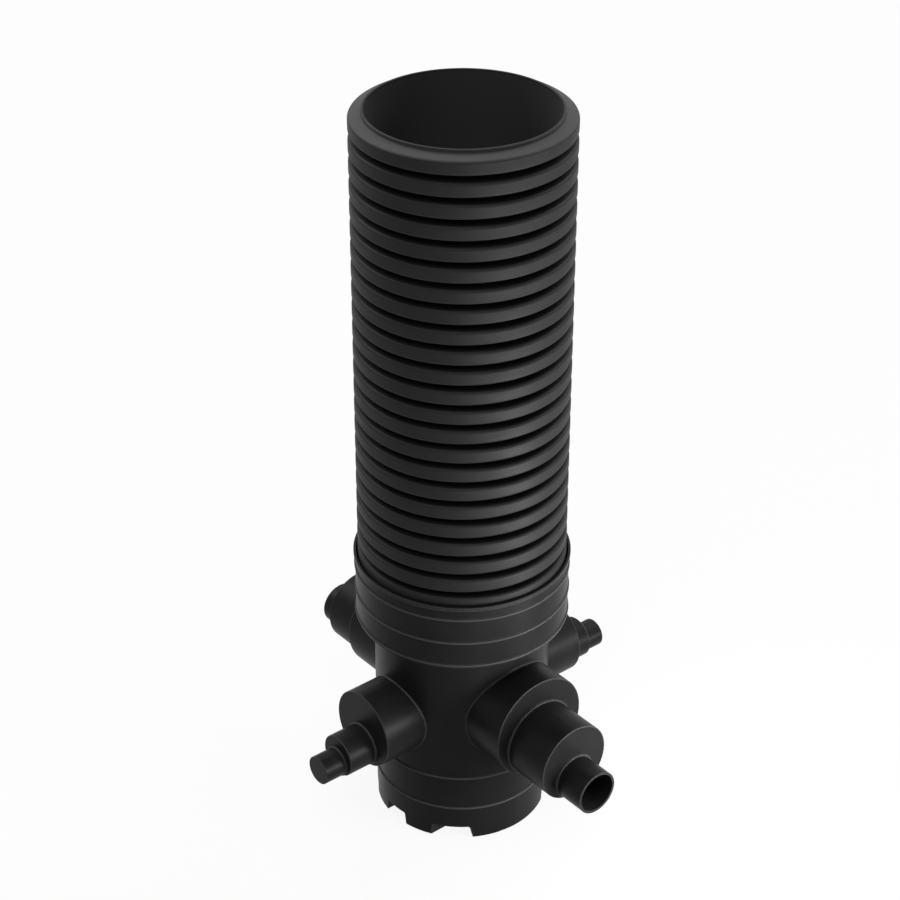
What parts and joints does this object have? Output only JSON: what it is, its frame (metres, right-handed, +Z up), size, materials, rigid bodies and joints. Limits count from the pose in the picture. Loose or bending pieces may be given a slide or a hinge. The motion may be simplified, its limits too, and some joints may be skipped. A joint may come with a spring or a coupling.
{
  "type": "catchpit chamber",
  "caption": "Black drainage catchpit chamber: a moulded sump base with stepped pipe spigots and a socket that holds a tall ribbed riser pipe.",
  "frame": {"origin": "on the chamber's vertical axis, at the underside of the base that it stands on", "axes": "+Z up along the riser, +X along the open outlet spigot, +Y along a closed side spigot"},
  "size_m": [1.042, 0.928, 1.9371],
  "materials": {
    "base_plastic": "moulded, satin",
    "riser_plastic": "extruded, satin",
    "seal_rubber": "matt"
  },
  "bodies": {
    "root": {"catchpit_base": "base_plastic", "riser_pipe": "riser_plastic", "riser_seal_ring": "seal_rubber"}
  },
  "joints": []
}
